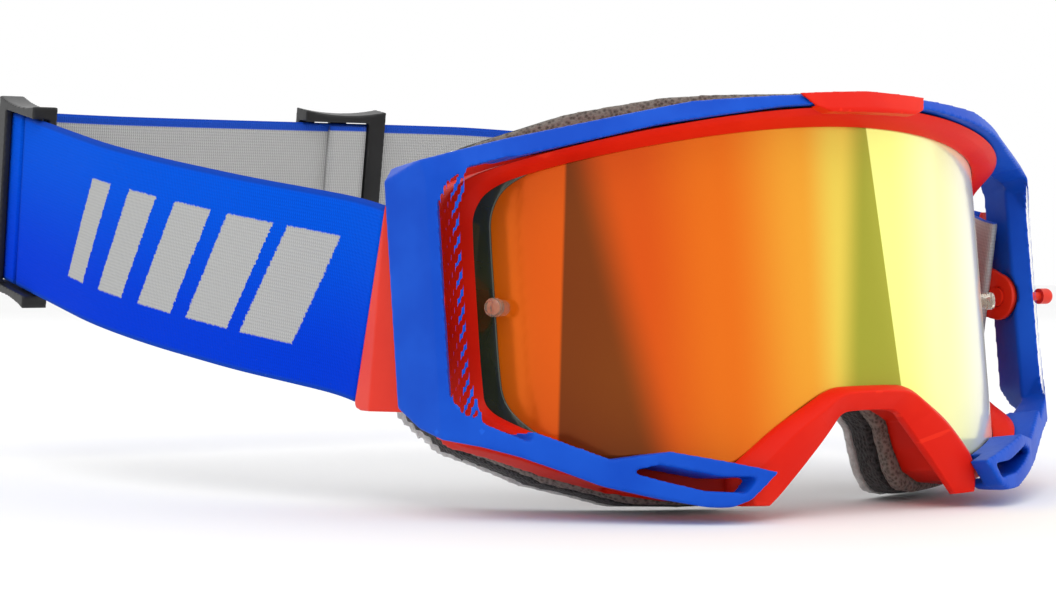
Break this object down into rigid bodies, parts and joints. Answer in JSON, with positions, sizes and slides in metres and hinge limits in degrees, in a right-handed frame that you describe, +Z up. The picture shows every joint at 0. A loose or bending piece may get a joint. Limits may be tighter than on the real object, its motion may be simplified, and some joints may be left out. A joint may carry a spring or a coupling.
{
  "type": "motocross goggles",
  "caption": "Motocross goggles: a curved mirrored lens in an outrigger frame, layered face foam, and an elastic strap with sliders that pivots on the outriggers.",
  "frame": {"origin": "on the axis of the lens's cylinder, at the height of the tear-off posts, where the wearer's head is", "axes": "+X to the wearer's left, -Y forward, +Z up"},
  "size_m": [0.2288, 0.2567, 0.1053],
  "materials": {
    "lens_mirror": "polycarbonate with a mirror coating, brown-orange to pale yellow",
    "ring_red": "satin",
    "gasket_dark": "matte",
    "post_clear": "clear, polished",
    "frame_blue": "satin, fine grain",
    "plate_red": "satin",
    "nose_red": "satin",
    "face_red": "satin",
    "vent_foam": "open-cell foam",
    "foam_grey": "closed-cell foam",
    "foam_black": "closed-cell foam",
    "fleece": "brushed fleece",
    "stud_red": "satin",
    "anchor_red": "satin",
    "strap_blue": "woven elastic, ribbed, grey lining",
    "slider_black": "satin"
  },
  "bodies": {
    "frame": {"outer_frame": "frame_blue", "nose_bridge": "nose_red", "face_frame": "face_red", "vent_foam_top": "vent_foam", "vent_foam_lower": "vent_foam", "face_foam_grey": "foam_grey", "face_foam_black": "foam_black", "face_fleece": "fleece", "pivot_stud_right": "stud_red", "pivot_stud_left": "stud_red"},
    "lens": {"brow_plate": "plate_red", "lens": "lens_mirror", "lens_ring": "ring_red", "lens_gasket": "gasket_dark", "tear_off_post_right": "post_clear", "tear_off_post_left": "post_clear"},
    "strap": {"strap_anchor_right": "anchor_red", "strap_anchor_left": "anchor_red", "strap_right": "strap_blue", "strap_left": "strap_blue", "strap_tail_right": "strap_blue", "strap_tail_left": "strap_blue"},
    "slider_side": {"strap_slider_side": "slider_black", "strap_sewn_end": "strap_blue"},
    "slider_rear": {"strap_slider_rear": "slider_black"}
  },
  "joints": [
    {"name": "lens_slide", "type": "slide", "parent": "frame", "child": "lens", "axis": [0, -0.9923, 0.1236], "range_m": [0, 0.03]},
    {"name": "strap_pivot", "type": "hinge", "parent": "frame", "child": "strap", "pos_m": [0, -0.033, 0.00613], "axis": [1, 0, 0], "range_deg": [-20, 1]},
    {"name": "side_slider_slide", "type": "slide", "parent": "strap", "child": "slider_side", "axis": [1, 0, 0], "range_m": [-0.015, 0.015]},
    {"name": "rear_slider_slide", "type": "slide", "parent": "strap", "child": "slider_rear", "axis": [0, 0.9854, 0.1702], "range_m": [-0.025, 0]}
  ]
}
